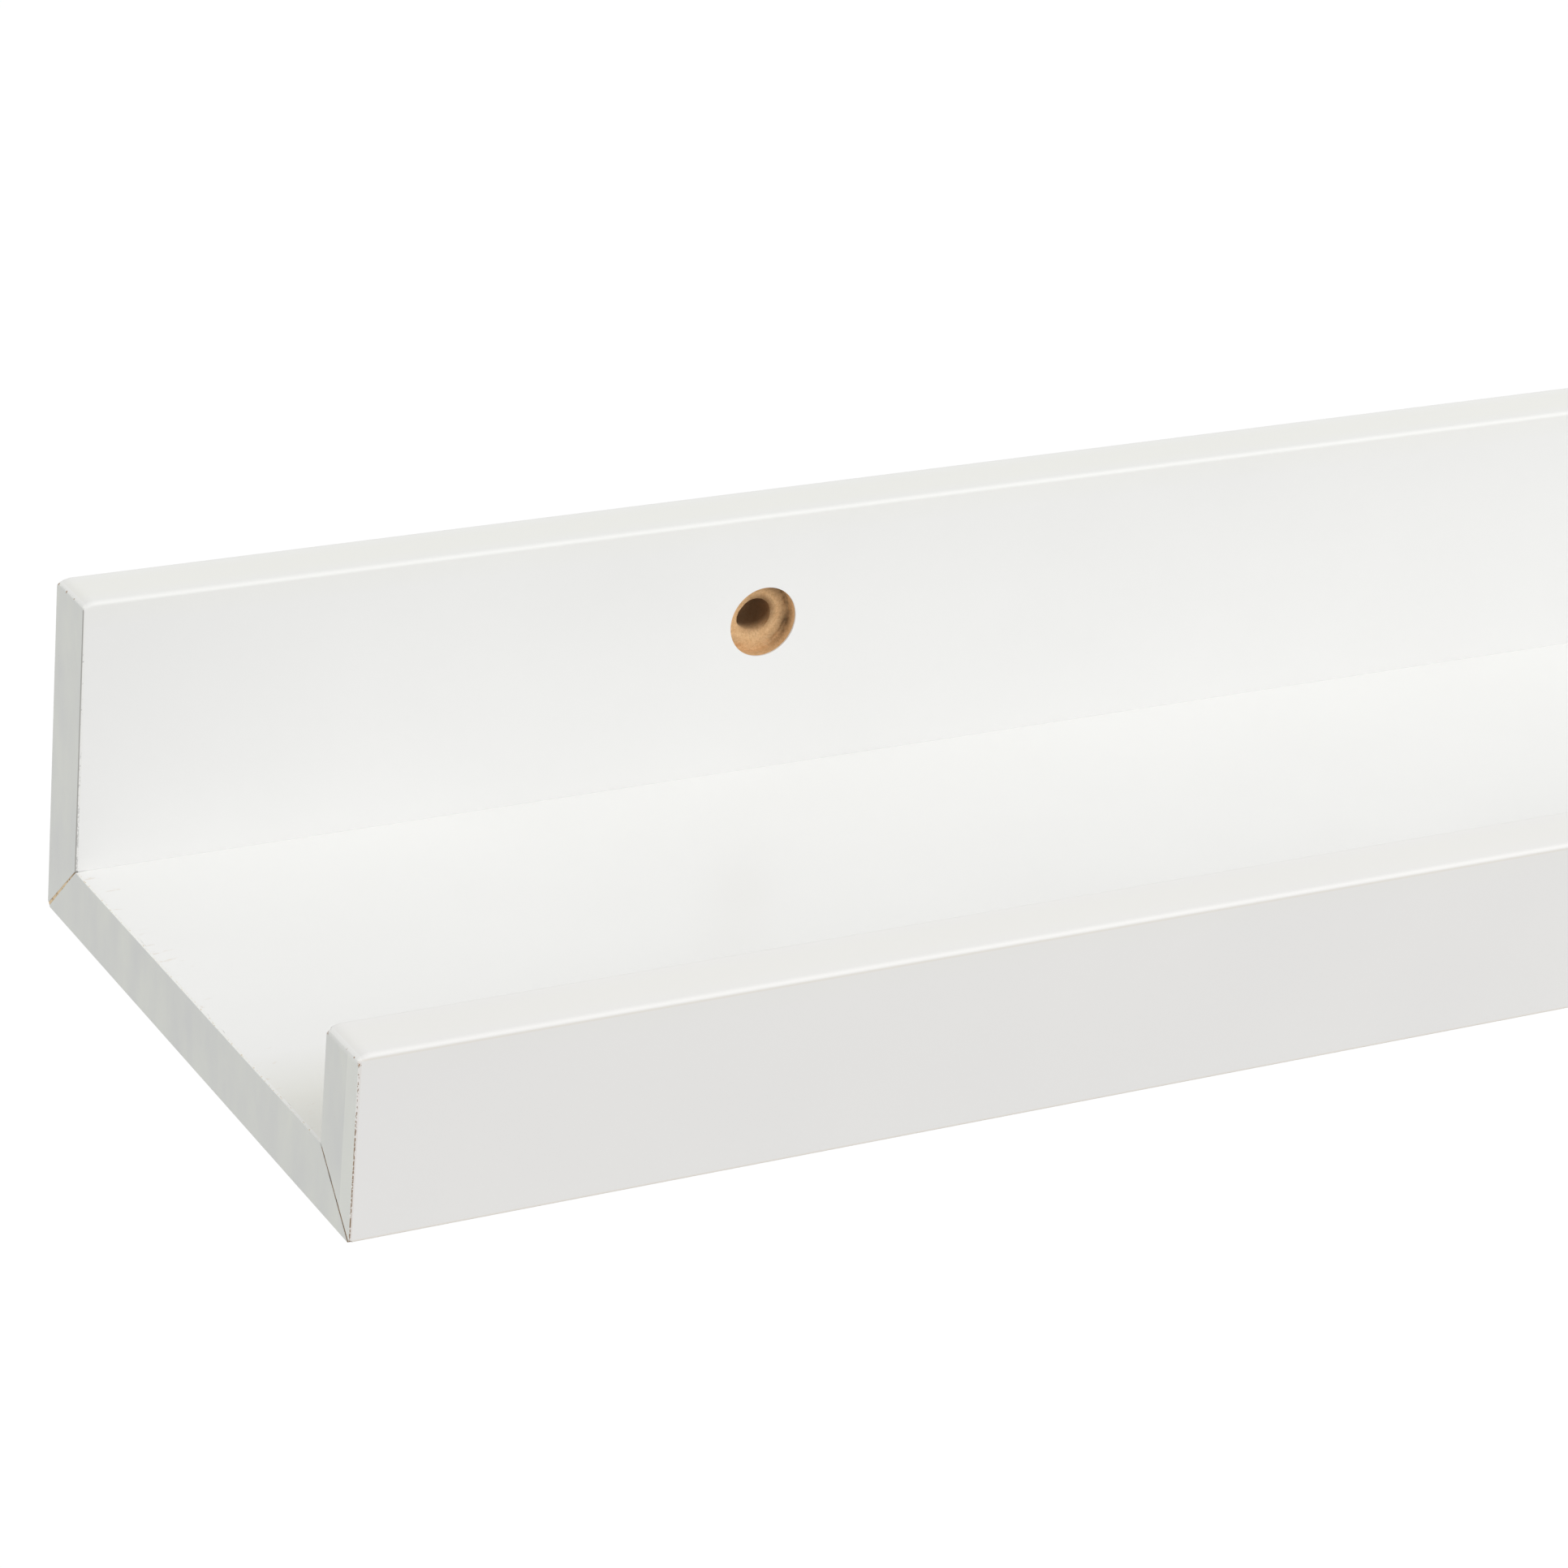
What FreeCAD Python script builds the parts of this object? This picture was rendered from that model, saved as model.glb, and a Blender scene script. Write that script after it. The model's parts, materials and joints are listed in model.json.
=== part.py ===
import FreeCAD, Part
import os

import Sketcher

# White picture ledge: a back board, a bottom board and a front lip, mitred and glued into a channel.
# Each board is an MDF core wrapped in white foil, with a strip of white edge tape on each end.
# Frame, in millimetres: +X along the shelf, +Y into the wall, +Z up. The origin lies on the
# wall plane, midway between the two screw holes and at their height.

# Driving dimensions: the alias in the sheet, the size, and what it is.
DIMENSIONS = [
    ("shelf_length", 609.6, "over the tapes on both ends"),
    ("shelf_depth", 96.5, "from the wall to the front of the lip"),
    ("back_height", 47.6, "from the underside to the top of the back board"),
    ("lip_height", 25.4, "from the underside to the top of the lip"),
    ("board_thick", 9.0, "each board, foil included"),
    ("foil_thick", 0.25, "white foil round each core"),
    ("tape_thick", 0.5, "white edge tape on each end"),
    ("top_round", 0.65, "radius along the top edges of the back board and the lip"),
    ("glue_thick", 0.2, "adhesive film in each mitre"),
    ("glue_setback", 0.4, "from the faces of the boards to the edge of the film"),
    ("corner_flat", 0.7, "flat sanded on the lower back corner"),
    ("screw_spacing", 406.4, "between the two screw holes"),
    ("screw_height", 31.5, "from the underside to the screw holes"),
    ("screw_hole_dia", 5.0, "clearance hole for the screw's shank"),
    ("head_bore_dia", 10.3, "counterbore for the screw's head"),
    ("head_bore_depth", 2.2, "straight wall of the counterbore"),
    ("head_cone_depth", 0.4, "shallow conical floor of the counterbore"),
]

# Heights and depths that several pieces share, as expressions on the sheet's aliases.
BOTTOM = "-Sizes.screw_height"
BACK_TOP = f"{BOTTOM} + Sizes.back_height"
LIP_TOP = f"{BOTTOM} + Sizes.lip_height"
FRONT = "-Sizes.shelf_depth"
THICK = "Sizes.board_thick"
FOIL = "Sizes.foil_thick"
TAPE = "Sizes.tape_thick"
CORE_LENGTH = f"Sizes.shelf_length - 2 * {TAPE}"
# Half of the adhesive film, measured level across the 45 degree mitre.
HALF_GAP = "Sizes.glue_thick * sqrt(2) / 2"

OVERCUT = 1.0  # how far a cutting profile runs past the faces that it cuts
NEAR = 1e-4  # tolerance for finding an edge by its place

document = FreeCAD.newDocument("picture_ledge")
sizes = document.addObject("Spreadsheet::Sheet", "Sizes")
for row, (alias, size, meaning) in enumerate(DIMENSIONS, 1):
    sizes.set(f"A{row}", meaning)
    sizes.set(f"B{row}", str(size))
    sizes.setAlias(f"B{row}", alias)
document.recompute()


def value(expression):
    """The number that an expression on the sheet's aliases gives."""
    return float(sizes.evalExpression(expression))


def origin_plane(body, role):
    """One of the body's own origin planes, such as YZ_Plane."""
    return next(item for item in body.Origin.OriginFeatures if item.Role == role)


def polygon_sketch(body, name, plane, corners):
    """A closed polygon on one of the body's planes, each corner tied to the sheet."""
    sketch = body.newObject("Sketcher::SketchObject", name)
    sketch.AttachmentSupport = (origin_plane(body, plane), [""])
    sketch.MapMode = "FlatFace"
    points = [FreeCAD.Vector(value(across), value(up), 0) for across, up in corners]
    count = len(points)
    for index, point in enumerate(points):
        sketch.addGeometry(Part.LineSegment(point, points[(index + 1) % count]))
    for index in range(count):
        following = (index + 1) % count
        sketch.addConstraint(Sketcher.Constraint("Coincident", index, 2, following, 1))
    for index, (point, corner) in enumerate(zip(points, corners)):
        for direction, number, expression in zip(("DistanceX", "DistanceY"), point, corner):
            place = sketch.addConstraint(Sketcher.Constraint(direction, -1, 1, index, 1, number))
            sketch.setExpression(f"Constraints[{place}]", expression)
    return sketch


def new_body(label):
    """An empty body whose label names the piece."""
    body = document.addObject("PartDesign::Body", label)
    body.Label = label
    return body


def pad_section(body, corners, length, symmetric=True):
    """The cross-section, drawn in the YZ plane, carried along X."""
    pad = body.newObject("PartDesign::Pad", f"{body.Label}_pad")
    pad.Profile = polygon_sketch(body, f"{body.Label}_section", "YZ_Plane", corners)
    pad.SideType = "Symmetric" if symmetric else "One side"
    pad.setExpression("Length", length)
    document.recompute()
    return pad


def check_cut(cut, before):
    """Stops the build if a cutting feature took nothing away."""
    document.recompute()
    if not cut.Shape.Volume < before - NEAR:
        raise RuntimeError(f"{cut.Label} cuts nothing")


def pocket_section(body, name, corners):
    """Cuts a cross-section, drawn in the YZ plane, out of the body's whole length."""
    before = body.Shape.Volume
    pocket = body.newObject("PartDesign::Pocket", f"{body.Label}_{name}")
    pocket.Profile = polygon_sketch(body, f"{body.Label}_{name}_sketch", "YZ_Plane", corners)
    pocket.SideType = "Symmetric"
    pocket.setExpression("Length", f"2 * Sizes.shelf_length + {2 * OVERCUT}")
    check_cut(pocket, before)


def round_edges(body, name, corners, radius):
    """Rounds the edges that run along X through the given corners of the cross-section."""
    base = body.Tip
    places = [(value(across), value(up)) for across, up in corners]
    found = []
    for index, edge in enumerate(base.Shape.Edges, 1):
        ends = [vertex.Point for vertex in edge.Vertexes]
        for across, up in places:
            if all(abs(p.y - across) < NEAR and abs(p.z - up) < NEAR for p in ends):
                found.append(f"Edge{index}")
    if len(found) != len(corners):
        raise RuntimeError(f"{body.Label}: {len(found)} edges found for {name}")
    fillet = body.newObject("PartDesign::Fillet", f"{body.Label}_{name}")
    fillet.Base = (base, found)
    fillet.setExpression("Radius", radius)
    document.recompute()


# The cross-section of each board. The parameter inset is how deep a surface lies below the
# foil's outer face: 0 for the wrapped board, the foil's thickness for its core.


def back_section(inset="0"):
    """The back board: vertical, with its lower edge cut at 45 degrees to meet the bottom."""
    return [
        (f"-({inset})", f"{BOTTOM} + {inset} + {HALF_GAP}"),
        (f"-({inset})", f"{BACK_TOP} - ({inset})"),
        (f"-{THICK} + {inset}", f"{BACK_TOP} - ({inset})"),
        (f"-{THICK} + {inset}", f"{BOTTOM} + {THICK} - ({inset}) + {HALF_GAP}"),
    ]


def lip_section(inset="0"):
    """The front lip: the same as the back board, lower and facing the other way."""
    return [
        (f"{FRONT} + {inset}", f"{BOTTOM} + {inset} + {HALF_GAP}"),
        (f"{FRONT} + {inset}", f"{LIP_TOP} - ({inset})"),
        (f"{FRONT} + {THICK} - ({inset})", f"{LIP_TOP} - ({inset})"),
        (f"{FRONT} + {THICK} - ({inset})", f"{BOTTOM} + {THICK} - ({inset}) + {HALF_GAP}"),
    ]


def bottom_section(low, high):
    """The layer of the bottom board between two heights above its underside."""
    return [
        (f"-({low}) - {HALF_GAP}", f"{BOTTOM} + {low}"),
        (f"-({high}) - {HALF_GAP}", f"{BOTTOM} + {high}"),
        (f"{FRONT} + {high} + {HALF_GAP}", f"{BOTTOM} + {high}"),
        (f"{FRONT} + {low} + {HALF_GAP}", f"{BOTTOM} + {low}"),
    ]


def glue_section(outer, inward):
    """The film in a mitre: outer is the depth of the outer corner, inward the sign along Y."""
    low = "Sizes.corner_flat / 2 + Sizes.glue_setback"
    high = f"{THICK} - Sizes.glue_setback"
    return [
        (f"{outer} + {inward} * ({low}) - {HALF_GAP}", f"{BOTTOM} + {low}"),
        (f"{outer} + {inward} * ({low}) + {HALF_GAP}", f"{BOTTOM} + {low}"),
        (f"{outer} + {inward} * ({high}) + {HALF_GAP}", f"{BOTTOM} + {high}"),
        (f"{outer} + {inward} * ({high}) - {HALF_GAP}", f"{BOTTOM} + {high}"),
    ]


def sand_back_corner(body):
    """The narrow flat sanded along the lower back corner, where the mitre comes to a point."""
    reach = f"Sizes.corner_flat + {OVERCUT}"
    corners = [
        (f"{OVERCUT}", f"{BOTTOM} + {reach}"),
        (f"{OVERCUT}", f"{BOTTOM} - {OVERCUT}"),
        (f"-({reach})", f"{BOTTOM} - {OVERCUT}"),
    ]
    pocket_section(body, "corner_flat", corners)


def bore_screw_holes(body):
    """Two counterbored screw holes, turned out of the board and mirrored about mid-length."""
    before = body.Shape.Volume
    centre = "Sizes.screw_spacing / 2"
    head = f"{centre} + Sizes.head_bore_dia / 2"
    shank = f"{centre} + Sizes.screw_hole_dia / 2"
    face = f"-{THICK}"
    profile = [
        (centre, f"{face} - {OVERCUT}"),
        (head, f"{face} - {OVERCUT}"),
        (head, f"{face} + Sizes.head_bore_depth"),
        (shank, f"{face} + Sizes.head_bore_depth + Sizes.head_cone_depth"),
        (shank, f"{OVERCUT}"),
        (centre, f"{OVERCUT}"),
    ]
    sketch = polygon_sketch(body, f"{body.Label}_hole_profile", "XY_Plane", profile)
    first, last = sketch.getPoint(0, 1), sketch.getPoint(len(profile) - 1, 1)
    axis = sketch.addGeometry(Part.LineSegment(first, last), True)
    sketch.addConstraint(Sketcher.Constraint("Coincident", axis, 1, 0, 1))
    sketch.addConstraint(Sketcher.Constraint("Coincident", axis, 2, len(profile) - 1, 1))
    groove = body.newObject("PartDesign::Groove", f"{body.Label}_screw_hole")
    groove.Profile = sketch
    groove.ReferenceAxis = (sketch, ["Axis0"])
    groove.Angle = 360
    check_cut(groove, before)
    single = groove.Shape.Volume
    mirrored = body.newObject("PartDesign::Mirrored", f"{body.Label}_screw_holes")
    mirrored.Originals = [groove]
    mirrored.MirrorPlane = (origin_plane(body, "YZ_Plane"), [""])
    body.Tip = mirrored
    check_cut(mirrored, single)


def wrapped_core(label, section):
    """The MDF core of a board with one mitred edge, rounded along its top."""
    body = new_body(label)
    corners = section(FOIL)
    pad_section(body, corners, CORE_LENGTH)
    round_edges(body, "round", corners[1:3], f"Sizes.top_round - {FOIL}")
    return body


def wrapped_foil(label, section):
    """The foil round such a core: over both faces and the top, open at the mitre."""
    body = new_body(label)
    outer, inner = section(), section(FOIL)
    pad_section(body, outer, CORE_LENGTH)
    pocket_section(body, "core_space", inner)
    round_edges(body, "inner_round", inner[1:3], f"Sizes.top_round - {FOIL}")
    round_edges(body, "round", outer[1:3], "Sizes.top_round")
    return body


def end_tape(label, side, section, rounded):
    """The strip of tape that covers one end of a board, cut to the board's cross-section."""
    body = new_body(f"{label}_{side}")
    pad_section(body, section, TAPE, symmetric=False)
    if rounded:
        round_edges(body, "round", section[1:3], "Sizes.top_round")
    start = "-Sizes.shelf_length / 2"
    if side == "right":
        start = f"Sizes.shelf_length / 2 - {TAPE}"
    body.setExpression("Placement.Base.x", start)
    return body


# Back board: the board that the screws hold against the wall.
back_core = wrapped_core("back_board_core", back_section)
back_foil = wrapped_foil("back_board_foil", back_section)
for piece in (back_core, back_foil):
    bore_screw_holes(piece)

# Front lip: keeps pictures from sliding off.
lip_core = wrapped_core("front_lip_core", lip_section)
lip_foil = wrapped_foil("front_lip_foil", lip_section)

# Bottom board: carries the load, with foil above and below and a mitre along both edges.
bottom_layers = {
    "bottom_board_under_foil": bottom_section("0", FOIL),
    "bottom_board_core": bottom_section(FOIL, f"({THICK} - {FOIL})"),
    "bottom_board_top_foil": bottom_section(f"({THICK} - {FOIL})", THICK),
}
bottom_pieces = []
for name, section in bottom_layers.items():
    layer = new_body(name)
    pad_section(layer, section, CORE_LENGTH)
    bottom_pieces.append(layer)
under_foil, bottom_core, top_foil = bottom_pieces

# Edge tape: one strip on each end of each board, cut through at the mitres.
tapes = {"back": [], "bottom": [], "lip": []}
for side in ("left", "right"):
    tapes["back"].append(end_tape("back_board_tape", side, back_section(), True))
    tapes["bottom"].append(end_tape("bottom_board_tape", side, bottom_section("0", THICK), False))
    tapes["lip"].append(end_tape("front_lip_tape", side, lip_section(), True))

for piece in (back_core, back_foil, bottom_core, under_foil, *tapes["back"], *tapes["bottom"]):
    sand_back_corner(piece)

# Adhesive: a thin film in each mitre, held back from every face so that the seam stays open.
glue_films = []
for name, section in (
    ("back_mitre_glue", glue_section("0", "-1")),
    ("front_mitre_glue", glue_section(FRONT, "1")),
):
    film = new_body(name)
    pad_section(film, section, f"{CORE_LENGTH} - 2 * Sizes.glue_setback")
    glue_films.append(film)

pieces = [back_core, back_foil, *tapes["back"]]
pieces += [bottom_core, top_foil, under_foil, *tapes["bottom"]]
pieces += [lip_core, lip_foil, *tapes["lip"], *glue_films]

document.recompute()
for item in document.Objects:
    if "Invalid" in item.State or "Error" in item.State:
        raise RuntimeError(f"{item.Label} did not recompute: {item.State}")
for piece in pieces:
    if piece.Shape.isNull() or not piece.Shape.isValid():
        raise RuntimeError(f"{piece.Label} has no valid shape")

os.makedirs("parts", exist_ok=True)
for piece in pieces:
    piece.Shape.exportStep(f"parts/{piece.Label}.step")
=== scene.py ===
import json
import math

import bmesh
import bpy
from mathutils import Matrix, Vector, noise


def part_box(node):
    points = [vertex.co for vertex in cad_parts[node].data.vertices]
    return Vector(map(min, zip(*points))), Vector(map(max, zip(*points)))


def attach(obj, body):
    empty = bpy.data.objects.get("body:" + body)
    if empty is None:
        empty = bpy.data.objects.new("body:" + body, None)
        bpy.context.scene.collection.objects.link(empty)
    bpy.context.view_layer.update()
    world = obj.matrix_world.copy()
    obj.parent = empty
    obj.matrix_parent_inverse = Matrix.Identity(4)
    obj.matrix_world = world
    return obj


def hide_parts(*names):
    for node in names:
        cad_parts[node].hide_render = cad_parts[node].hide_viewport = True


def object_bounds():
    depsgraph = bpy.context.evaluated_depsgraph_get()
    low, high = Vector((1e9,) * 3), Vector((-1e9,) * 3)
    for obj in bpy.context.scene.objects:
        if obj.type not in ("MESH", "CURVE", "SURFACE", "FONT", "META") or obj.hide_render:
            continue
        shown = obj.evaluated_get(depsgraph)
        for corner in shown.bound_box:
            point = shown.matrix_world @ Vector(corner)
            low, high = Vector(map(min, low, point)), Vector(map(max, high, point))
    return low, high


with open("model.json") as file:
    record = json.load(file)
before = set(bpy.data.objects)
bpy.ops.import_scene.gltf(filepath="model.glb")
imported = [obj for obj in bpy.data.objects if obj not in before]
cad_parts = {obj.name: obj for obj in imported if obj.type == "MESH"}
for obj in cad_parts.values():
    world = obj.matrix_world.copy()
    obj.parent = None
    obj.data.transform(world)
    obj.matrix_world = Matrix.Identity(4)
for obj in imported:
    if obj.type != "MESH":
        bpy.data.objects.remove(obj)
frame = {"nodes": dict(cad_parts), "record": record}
cad_low, cad_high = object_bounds()

# Back board core: a board of medium-density fibreboard, sawn to a mitre along its lower edge and
# bored twice for the wall screws. It shows inside the counterbores, where the cutter has left
# felted fibre, and on the narrow flat sanded along the lower back corner.

MM = 0.001
TINY = 0.002 * MM  # places closer than this are the same place
WELD = TINY / 10  # points closer than this are joined
TOP_ROUND = 0.65 * MM  # radius along the top edges of the wrapped boards
ROUND_STEPS = 8
CORNER_FLAT = 0.7 * MM  # how far the sanded flat takes off each face
SHARP_ANGLE = math.radians(35)  # an edge that turns further than this is drawn sharp
EASE_LENGTH = 2.0 * MM  # the stretch before each end that the sander has eased down
EASE_DROP = 0.7 * MM  # how much lower the top lies at the very end
EASE_POWER = 2.5  # the higher, the later the top starts to fall
EASE_ZONE = 4 * MM  # the height of board that the easing takes with it
EASE_CUTS = 8

HOLE_SIDES = 96
HOLE_SQUARE = 7 * MM  # half of the square of board that is modelled round each hole
CENTRE_SLACK = TINY * 10  # how far the middle of such a square may lie from the hole's axis
HEAD_RADIUS = 5.15 * MM
HEAD_DEPTH = 2.2 * MM
CONE_DEPTH = 0.4 * MM
WALL_RINGS, FLOOR_RINGS, SHANK_RINGS = 12, 20, 18
FIBRE_SIZE = 0.45 * MM
FINER_FIBRE = 2.3  # how many times smaller the second, weaker layer of fibre is
FINER_STRENGTH = 0.5
WALL_FUZZ = 0.03 * MM
FLOOR_FUZZ = 0.07 * MM
TEAR_SIZE = 4 * FIBRE_SIZE
TEAR_SPREAD = 0.2  # the higher, the more of the groove is torn
TEAR_WIDTH = 0.6 * MM
TEAR_DEPTH = 0.6 * MM
WORN_REACH = 1.3 * MM
WORN_DEPTH = 0.4 * MM
WORN_SIDE = math.radians(-110)  # the side of the screw hole that the screws have worn
WORN_SPREAD = 0.3  # the higher, the further the wear goes round the rim
WORN_SLOPE = 0.7  # outward and along the hole alike, so that the wear slopes at 45 degrees
BURR_HEIGHT = 0.4 * MM
BURR_REACH = 2.5 * MM

MOTTLE_SIZE = 1.6 * MM
FELT_SIZE = 0.35 * MM
GROOVE_SHADE_SIZE = 3.2 * MM
GROOVE_SHADE_TILT = 0.018 / MM  # how much likelier the painted shade in the groove gets towards the hole's upper side
GROOVE_FADE = (0.1 * MM, 1.6 * MM)  # off the counterbore's wall, where the painted shade in the groove gives way
GROOVE_RISE = (1.6 * MM, 0.2 * MM)  # before the floor, where it begins and where it is complete
HOLE_SHADE_TILT = 0.45  # how much further forward the painted shade in the shank hole starts towards the upper side
HOLE_SHADE_DEPTHS = (-0.6 * MM, 2 * MM)  # past the cone's foot, where it begins and is complete
HOLE_SHADE_FADE = (0.1 * MM, 0.9 * MM)  # outside the shank hole, where it gives way

back_low, back_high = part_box("back_board_foil")
core_low, core_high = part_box("back_board_core")
lip_low, lip_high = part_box("front_lip_foil")
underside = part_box("bottom_board_under_foil")[0].z
board_thick = back_high.y - back_low.y
foil_thick = core_low.y - back_low.y
mitre_gap = foil_thick - board_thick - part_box("bottom_board_top_foil")[1].y
foil_end = back_high.x
shelf_end = cad_high.x
shank_bores = [mount for mount in frame["record"]["mounts"] if mount["kind"] == "bore"]
shank_radius = shank_bores[0]["dims"]["r_mm"] * MM
hole_places = [(mount["pos_m"][0], mount["pos_m"][2]) for mount in shank_bores]


def upright_section(low, high, outer, outer_gap=mitre_gap, inner_gap=mitre_gap):
    """The cross-section of an upright board in Y and Z, mitred below.

    Outer is the Y of the board's outer face, and each gap is left open at that corner of the mitre.
    """
    def foot(y):
        depth = abs(y - outer)
        return underside + depth + outer_gap + (inner_gap - outer_gap) * depth / board_thick

    return [(high.y, foot(high.y)), (high.y, high.z), (low.y, high.z), (low.y, foot(low.y))]


def board_prism(section, x_low, x_high):
    """A closed prism: a cross-section carried along X."""
    bm = bmesh.new()
    face = bm.faces.new([bm.verts.new((x_low, y, z)) for y, z in section])
    carried = bmesh.ops.extrude_face_region(bm, geom=[face])["geom"]
    moved = [item for item in carried if isinstance(item, bmesh.types.BMVert)]
    bmesh.ops.translate(bm, verts=moved, vec=(x_high - x_low, 0, 0))
    bmesh.ops.recalc_face_normals(bm, faces=bm.faces[:])
    return bm


def round_edges(bm, edges, radius, steps, clamp=False):
    """Rounds edges in flat steps; a clamped round stops short of its neighbours."""
    bmesh.ops.bevel(
        bm, geom=edges, offset=radius, offset_type="OFFSET", segments=steps,
        profile=0.5, affect="EDGES", clamp_overlap=clamp, material=-1,
    )


def round_top(bm, section, radius):
    """Rounds the two top edges of an upright board."""
    tops = section[1:3]
    edges = [
        edge for edge in bm.edges
        if abs(edge.verts[0].co.x - edge.verts[1].co.x) > TINY
        and any(abs(edge.verts[0].co.y - y) < TINY and abs(edge.verts[0].co.z - z) < TINY for y, z in tops)
    ]
    round_edges(bm, edges, radius, ROUND_STEPS)


def cut_plane(bm, place, normal, clear=False):
    """Cuts all of a mesh along a plane and can clear away what lies beyond it."""
    geometry = bm.verts[:] + bm.edges[:] + bm.faces[:]
    bmesh.ops.bisect_plane(
        bm, geom=geometry, dist=WELD, plane_co=place, plane_no=normal, clear_outer=clear,
    )


def close_openings(bm):
    """Fills the flat openings that a cut has left."""
    bmesh.ops.holes_fill(bm, edges=[edge for edge in bm.edges if edge.is_boundary], sides=0)


def sand_back_corner(bm):
    """Takes the narrow flat off the lower back corner."""
    cut_plane(bm, (0, 0, underside + CORNER_FLAT), (0, 1, -1), clear=True)


def ease_ends(bm, top):
    """Lets the top of an upright board fall away over its last stretch before each end."""
    for cut in range(EASE_CUTS):
        start = shelf_end - EASE_LENGTH * (cut + 1) / EASE_CUTS
        for side in (-1, 1):
            cut_plane(bm, (side * start, 0, 0), (1, 0, 0))
    for vert in bm.verts:
        past = (abs(vert.co.x) - shelf_end + EASE_LENGTH) / EASE_LENGTH
        reach = (vert.co.z - top + EASE_ZONE) / EASE_ZONE
        if past > 0 and reach > 0:
            vert.co.z -= EASE_DROP * past ** EASE_POWER * reach


def upright_core(low, high, outer, board_top):
    """The fibreboard of an upright board, with its rounded and eased top."""
    section = upright_section(low, high, outer)
    bm = board_prism(section, low.x, high.x)
    round_top(bm, section, TOP_ROUND - foil_thick)
    ease_ends(bm, board_top)
    sand_back_corner(bm)
    close_openings(bm)
    return bm


def score_holes(bm):
    """Scores the board along the sides of the square round each screw hole."""
    for x, z in hole_places:
        for side in (-HOLE_SQUARE, HOLE_SQUARE):
            cut_plane(bm, (x + side, 0, 0), (1, 0, 0))
            cut_plane(bm, (0, 0, z + side), (0, 0, 1))


def ring_edges(bm, place, radius, y):
    """The edges of the circle of a screw hole at one depth."""
    x, z = place
    return [
        edge for edge in bm.edges
        if all(
            abs(vert.co.y - y) < TINY and abs(math.hypot(vert.co.x - x, vert.co.z - z) - radius) < TINY
            for vert in edge.verts
        )
    ]


def join_square(bm, place, radius, y):
    """Opens the square round a screw hole in one face of the board and joins it to the hole's rim."""
    centre = Vector((place[0], y, place[1]))
    square = [face for face in bm.faces if (face.calc_center_median() - centre).length < CENTRE_SLACK]
    normal = square[0].normal.copy()
    sides = list(square[0].edges)
    bmesh.ops.delete(bm, geom=square, context="FACES_ONLY")
    divided = bmesh.ops.subdivide_edges(bm, edges=sides, cuts=HOLE_SIDES // 4 - 1)["geom_split"]
    border = [item for item in divided if isinstance(item, bmesh.types.BMEdge)]
    bmesh.ops.triangle_fill(
        bm, edges=border + ring_edges(bm, place, radius, y), normal=normal, use_beauty=True,
    )


def spread(first, last, count):
    """Evenly spaced numbers from just after first up to last."""
    return [first + (last - first) * (step + 1) / count for step in range(count)]


floor_y = back_low.y + HEAD_DEPTH
shank_y = floor_y + CONE_DEPTH


def bore_hole(bm, place):
    """Turns the counterbore, its shallow cone and the shank hole out of the core."""
    x, z = place
    profile = [(HEAD_RADIUS, core_low.y)]
    profile += [(HEAD_RADIUS, y) for y in spread(core_low.y, floor_y, WALL_RINGS)]
    profile += list(zip(
        spread(HEAD_RADIUS, shank_radius, FLOOR_RINGS), spread(floor_y, shank_y, FLOOR_RINGS),
    ))
    profile += [(shank_radius, y) for y in spread(shank_y, core_high.y, SHANK_RINGS)]
    line = [bm.verts.new((x, y, z + radius)) for radius, y in profile]
    edges = [bm.edges.new(pair) for pair in zip(line, line[1:])]
    bmesh.ops.spin(
        bm, geom=line + edges, cent=(x, 0, z), axis=(0, 1, 0), angle=math.tau,
        steps=HOLE_SIDES, use_merge=True,
    )
    join_square(bm, place, HEAD_RADIUS, core_low.y)
    join_square(bm, place, shank_radius, core_high.y)


def fray_hole(bm, place):
    """Roughens a hole: felted walls, a torn groove round the floor, a worn rim, a burr at the rear."""
    x, z = place
    for vert in bm.verts:
        spoke = Vector((vert.co.x - x, 0, vert.co.z - z))
        radius = spoke.length
        if radius > HEAD_RADIUS + TINY or vert.co.y < core_low.y + TINY:
            continue
        outward = spoke.normalized()
        fine = noise.noise(vert.co * FINER_FIBRE / FIBRE_SIZE)
        felt = noise.noise(vert.co / FIBRE_SIZE) + FINER_STRENGTH * fine
        if shank_radius + TINY < radius < HEAD_RADIUS - TINY:
            tear = max(0, noise.noise(vert.co / TEAR_SIZE) + TEAR_SPREAD)
            near_wall = max(0, 1 - (HEAD_RADIUS - radius) / TEAR_WIDTH)
            vert.co.y += felt * FLOOR_FUZZ + tear * near_wall * TEAR_DEPTH
        else:
            burr = max(0, 1 - (core_high.y - vert.co.y) / BURR_REACH) * BURR_HEIGHT
            vert.co += outward * (felt * WALL_FUZZ - burr)
        turn = math.atan2(spoke.z, spoke.x) - WORN_SIDE
        off_rim = math.hypot(radius - shank_radius, vert.co.y - shank_y)
        wear = max(0, math.cos(turn) + WORN_SPREAD) * max(0, 1 - off_rim / WORN_REACH) ** 2
        if radius < shank_radius + WORN_REACH:
            vert.co += (outward * WORN_SLOPE + Vector((0, WORN_SLOPE, 0))) * wear * WORN_DEPTH


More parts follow.
